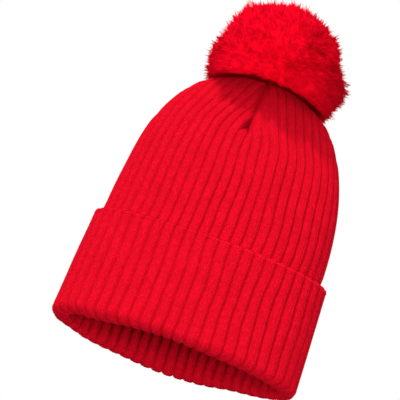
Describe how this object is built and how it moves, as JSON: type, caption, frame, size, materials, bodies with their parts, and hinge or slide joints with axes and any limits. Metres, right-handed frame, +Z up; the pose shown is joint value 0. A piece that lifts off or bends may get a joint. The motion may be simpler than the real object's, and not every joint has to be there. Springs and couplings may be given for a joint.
{
  "type": "beanie",
  "caption": "Ribbed knit winter hat with a deep turned-up cuff, a crown drawn in by sewn darts, and a round yarn pom tied on top.",
  "frame": {"origin": "centre of the brim, on the surface that the fold of the cuff rests on", "axes": "+Z up from the brim to the pom, +X across the hat, -Y towards its front"},
  "size_m": [0.1704, 0.093, 0.257],
  "materials": {
    "rib_knit": "matte",
    "pom_yarn": "matte",
    "tie_yarn": "matte",
    "sewing_thread": "matte"
  },
  "bodies": {
    "cuff": {"turned_up_cuff": "rib_knit"},
    "crown": {"knit_body": "rib_knit", "crown_dart_seam_front": "sewing_thread", "crown_dart_seam_back": "sewing_thread", "crown_dart_seam_left": "sewing_thread", "crown_dart_seam_right": "sewing_thread", "crown_gather_thread": "sewing_thread"},
    "knot": {"pom_knot": "tie_yarn"},
    "neck": {"pom_tie_neck": "tie_yarn"},
    "pom": {"pom_tie_shank": "tie_yarn", "pom_binding": "tie_yarn", "pom_pile": "pom_yarn"}
  },
  "joints": [
    {"name": "cuff_turn_down", "type": "slide", "parent": "cuff", "child": "crown", "axis": [0, 0, 1], "range_m": [0, 0.07]},
    {"name": "pom_twist", "type": "hinge", "parent": "crown", "child": "knot", "pos_m": [0, 0, 0.198], "axis": [0, 0, 1], "range_deg": [-90, 90]},
    {"name": "pom_nod", "type": "hinge", "parent": "knot", "child": "neck", "pos_m": [0, 0, 0.198], "axis": [1, 0, 0], "range_deg": [-10, 10], "stiffness_Nm_per_rad": 0.05},
    {"name": "pom_sway", "type": "hinge", "parent": "neck", "child": "pom", "pos_m": [0, 0, 0.198], "axis": [0, 1, 0], "range_deg": [-10, 10], "stiffness_Nm_per_rad": 0.05}
  ]
}
